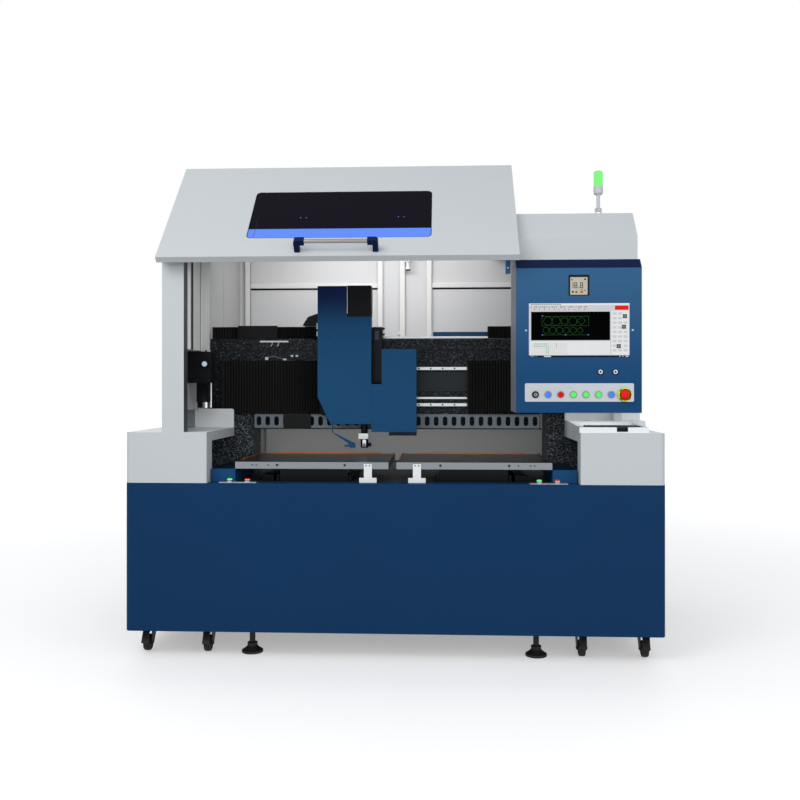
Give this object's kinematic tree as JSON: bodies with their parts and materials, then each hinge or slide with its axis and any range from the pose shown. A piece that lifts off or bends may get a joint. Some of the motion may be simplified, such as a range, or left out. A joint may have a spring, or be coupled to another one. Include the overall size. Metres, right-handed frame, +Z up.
{
  "type": "laser cutting machine",
  "caption": "Enclosed granite-gantry laser cutter with shuttle tables, a lift-up hood, a control cabinet with screen and a wheeled base.",
  "frame": {"origin": "floor level, under the middle of the whole machine's width and depth", "axes": "+X to the operator's right, +Y towards the back of the machine, +Z up"},
  "size_m": [2.4, 1.5182, 2.2932],
  "materials": {
    "navy_cabinet_paint": "semi-gloss powder coat",
    "grey_housing_paint": "semi-gloss powder coat",
    "frame_paint": "satin black paint",
    "black_granite": "honed",
    "blue_panel_paint": "semi-gloss powder coat",
    "screen_glass": "gloss",
    "display_plastic": "gloss",
    "plate_metal": "satin",
    "guard_plastic": "satin",
    "rail_steel": "ground",
    "chain_plastic": "satin",
    "bellows_fabric": "matt",
    "stage_anodised": "black anodised",
    "way_cover_paint": "semi-gloss",
    "unit_black": "satin black",
    "fitting_white": "satin",
    "window_tint": "gloss",
    "handle_paint": "semi-gloss",
    "carriage_black": "black anodised",
    "head_blue_paint": "semi-gloss",
    "optics_black": "black anodised",
    "nozzle_steel": "polished",
    "table_aluminium": "brushed",
    "button_blue": "gloss",
    "button_red": "gloss",
    "button_green": "gloss",
    "key_black": "satin",
    "lamp_plastic": "gloss",
    "foot_black": "painted black",
    "fork_black": "semi-gloss",
    "wheel_tread": "matt"
  },
  "bodies": {
    "machine": {"base_cabinet": "navy_cabinet_paint", "base_frame": "frame_paint", "granite_bed": "black_granite", "left_pedestal": "grey_housing_paint", "right_pedestal": "grey_housing_paint", "left_wall": "grey_housing_paint", "rear_wall": "grey_housing_paint", "roof_panel": "grey_housing_paint", "right_housing": "grey_housing_paint", "control_cabinet": "grey_housing_paint", "control_panel": "blue_panel_paint", "monitor": "screen_glass", "temperature_display": "display_plastic", "button_plate": "plate_metal", "estop_guard": "guard_plastic", "granite_gantry": "black_granite", "gantry_rails": "rail_steel", "energy_chain": "chain_plastic", "left_bellows": "bellows_fabric", "right_bellows": "bellows_fabric", "table_stages": "stage_anodised", "way_covers": "way_cover_paint", "start_plates": "plate_metal", "air_unit": "unit_black", "chamber_fittings": "fitting_white"},
    "hood": {"hood_panel": "grey_housing_paint", "hood_window": "window_tint", "hood_handle": "handle_paint"},
    "x_carriage": {"x_carriage": "carriage_black"},
    "cutting_head": {"cutting_head_cover": "head_blue_paint", "cutting_optics": "optics_black", "cutting_nozzle": "nozzle_steel"},
    "vision_head": {"vision_head": "head_blue_paint"},
    "left_table": {"left_table": "table_aluminium"},
    "right_table": {"right_table": "table_aluminium"},
    "key_switch": {"key_switch": "key_black"},
    "panel_button_1": {"panel_button_1": "button_blue"},
    "panel_button_2": {"panel_button_2": "button_red"},
    "panel_button_3": {"panel_button_3": "button_green"},
    "panel_button_4": {"panel_button_4": "button_green"},
    "panel_button_5": {"panel_button_5": "button_green"},
    "panel_button_6": {"panel_button_6": "button_blue"},
    "estop_button": {"estop_button": "button_red"},
    "left_start_button": {"left_start_button": "button_green"},
    "left_stop_button": {"left_stop_button": "button_red"},
    "right_start_button": {"right_start_button": "button_green"},
    "right_stop_button": {"right_stop_button": "button_red"},
    "signal_lamp": {"signal_lamp": "lamp_plastic"},
    "levelling_foot_1": {"levelling_foot_1": "foot_black"},
    "levelling_foot_2": {"levelling_foot_2": "foot_black"},
    "levelling_foot_3": {"levelling_foot_3": "foot_black"},
    "levelling_foot_4": {"levelling_foot_4": "foot_black"},
    "caster_fork_1": {"caster_fork_1": "fork_black"},
    "caster_wheel_1": {"caster_wheel_1": "wheel_tread"},
    "caster_fork_2": {"caster_fork_2": "fork_black"},
    "caster_wheel_2": {"caster_wheel_2": "wheel_tread"},
    "caster_fork_3": {"caster_fork_3": "fork_black"},
    "caster_wheel_3": {"caster_wheel_3": "wheel_tread"},
    "caster_fork_4": {"caster_fork_4": "fork_black"},
    "caster_wheel_4": {"caster_wheel_4": "wheel_tread"}
  },
  "joints": [
    {"name": "hood_lift", "type": "hinge", "parent": "machine", "child": "hood", "pos_m": [0, -0.2193, 2.28426], "axis": [-1, 0, 0], "range_deg": [0, 42]},
    {"name": "x_travel", "type": "slide", "parent": "machine", "child": "x_carriage", "axis": [1, 0, 0], "range_m": [-0.35, 0.2], "deforming": ["left_bellows"]},
    {"name": "cutting_head_z", "type": "slide", "parent": "x_carriage", "child": "cutting_head", "axis": [0, 0, 1], "range_m": [-0.025, 0.07]},
    {"name": "vision_head_z", "type": "slide", "parent": "x_carriage", "child": "vision_head", "axis": [0, 0, 1], "range_m": [-0.05, 0.05]},
    {"name": "left_table_shuttle", "type": "slide", "parent": "machine", "child": "left_table", "axis": [0, 1, 0], "range_m": [0, 0.45]},
    {"name": "right_table_shuttle", "type": "slide", "parent": "machine", "child": "right_table", "axis": [0, 1, 0], "range_m": [0, 0.45]},
    {"name": "key_turn", "type": "hinge", "parent": "machine", "child": "key_switch", "pos_m": [0.632, -0.64094, 1.18078], "axis": [0, 1, 0], "range_deg": [0, 90]},
    {"name": "press_panel_button_1", "type": "slide", "parent": "machine", "child": "panel_button_1", "axis": [0, 1, 0], "range_m": [0, 0.004], "stiffness_N_per_m": 400, "springref_m": -0.002},
    {"name": "press_panel_button_2", "type": "slide", "parent": "machine", "child": "panel_button_2", "axis": [0, 1, 0], "range_m": [0, 0.004], "stiffness_N_per_m": 400, "springref_m": -0.002},
    {"name": "press_panel_button_3", "type": "slide", "parent": "machine", "child": "panel_button_3", "axis": [0, 1, 0], "range_m": [0, 0.004], "stiffness_N_per_m": 400, "springref_m": -0.002},
    {"name": "press_panel_button_4", "type": "slide", "parent": "machine", "child": "panel_button_4", "axis": [0, 1, 0], "range_m": [0, 0.004], "stiffness_N_per_m": 400, "springref_m": -0.002},
    {"name": "press_panel_button_5", "type": "slide", "parent": "machine", "child": "panel_button_5", "axis": [0, 1, 0], "range_m": [0, 0.004], "stiffness_N_per_m": 400, "springref_m": -0.002},
    {"name": "press_panel_button_6", "type": "slide", "parent": "machine", "child": "panel_button_6", "axis": [0, 1, 0], "range_m": [0, 0.004], "stiffness_N_per_m": 400, "springref_m": -0.002},
    {"name": "press_estop", "type": "slide", "parent": "machine", "child": "estop_button", "axis": [0, 1, 0], "range_m": [0, 0.005], "stiffness_N_per_m": 900, "springref_m": -0.002},
    {"name": "press_left_start_button", "type": "slide", "parent": "machine", "child": "left_start_button", "axis": [0, 0, -1], "range_m": [0, 0.003], "stiffness_N_per_m": 400, "springref_m": -0.002},
    {"name": "press_left_stop_button", "type": "slide", "parent": "machine", "child": "left_stop_button", "axis": [0, 0, -1], "range_m": [0, 0.003], "stiffness_N_per_m": 400, "springref_m": -0.002},
    {"name": "press_right_start_button", "type": "slide", "parent": "machine", "child": "right_start_button", "axis": [0, 0, -1], "range_m": [0, 0.003], "stiffness_N_per_m": 400, "springref_m": -0.002},
    {"name": "press_right_stop_button", "type": "slide", "parent": "machine", "child": "right_stop_button", "axis": [0, 0, -1], "range_m": [0, 0.003], "stiffness_N_per_m": 400, "springref_m": -0.002},
    {"name": "lamp_fold", "type": "hinge", "parent": "machine", "child": "signal_lamp", "pos_m": [0.956, -0.34094, 2.048], "axis": [-1, 0, 0], "range_deg": [0, 90]},
    {"name": "foot_1_screw", "type": "hinge", "parent": "machine", "child": "levelling_foot_1", "pos_m": [-0.647, -0.52294, 0.05], "axis": [0, 0, 1], "continuous": true},
    {"name": "foot_2_screw", "type": "hinge", "parent": "machine", "child": "levelling_foot_2", "pos_m": [0.647, -0.52294, 0.05], "axis": [0, 0, 1], "continuous": true},
    {"name": "foot_3_screw", "type": "hinge", "parent": "machine", "child": "levelling_foot_3", "pos_m": [-0.647, 0.64106, 0.05], "axis": [0, 0, 1], "continuous": true},
    {"name": "foot_4_screw", "type": "hinge", "parent": "machine", "child": "levelling_foot_4", "pos_m": [0.647, 0.64106, 0.05], "axis": [0, 0, 1], "continuous": true},
    {"name": "caster_1_swivel", "type": "hinge", "parent": "machine", "child": "caster_fork_1", "pos_m": [-1.13, -0.50294, 0.11], "axis": [0, 0, 1], "continuous": true},
    {"name": "caster_1_roll", "type": "hinge", "parent": "caster_fork_1", "child": "caster_wheel_1", "pos_m": [-1.13, -0.52894, 0.0405], "axis": [1, 0, 0], "continuous": true},
    {"name": "caster_2_swivel", "type": "hinge", "parent": "machine", "child": "caster_fork_2", "pos_m": [-0.85, -0.50294, 0.11], "axis": [0, 0, 1], "continuous": true},
    {"name": "caster_2_roll", "type": "hinge", "parent": "caster_fork_2", "child": "caster_wheel_2", "pos_m": [-0.85, -0.52894, 0.0405], "axis": [1, 0, 0], "continuous": true},
    {"name": "caster_3_swivel", "type": "hinge", "parent": "machine", "child": "caster_fork_3", "pos_m": [0.85, -0.50294, 0.11], "axis": [0, 0, 1], "continuous": true},
    {"name": "caster_3_roll", "type": "hinge", "parent": "caster_fork_3", "child": "caster_wheel_3", "pos_m": [0.85, -0.52894, 0.0405], "axis": [1, 0, 0], "continuous": true},
    {"name": "caster_4_swivel", "type": "hinge", "parent": "machine", "child": "caster_fork_4", "pos_m": [1.13, -0.50294, 0.11], "axis": [0, 0, 1], "continuous": true},
    {"name": "caster_4_roll", "type": "hinge", "parent": "caster_fork_4", "child": "caster_wheel_4", "pos_m": [1.13, -0.52894, 0.0405], "axis": [1, 0, 0], "continuous": true}
  ]
}
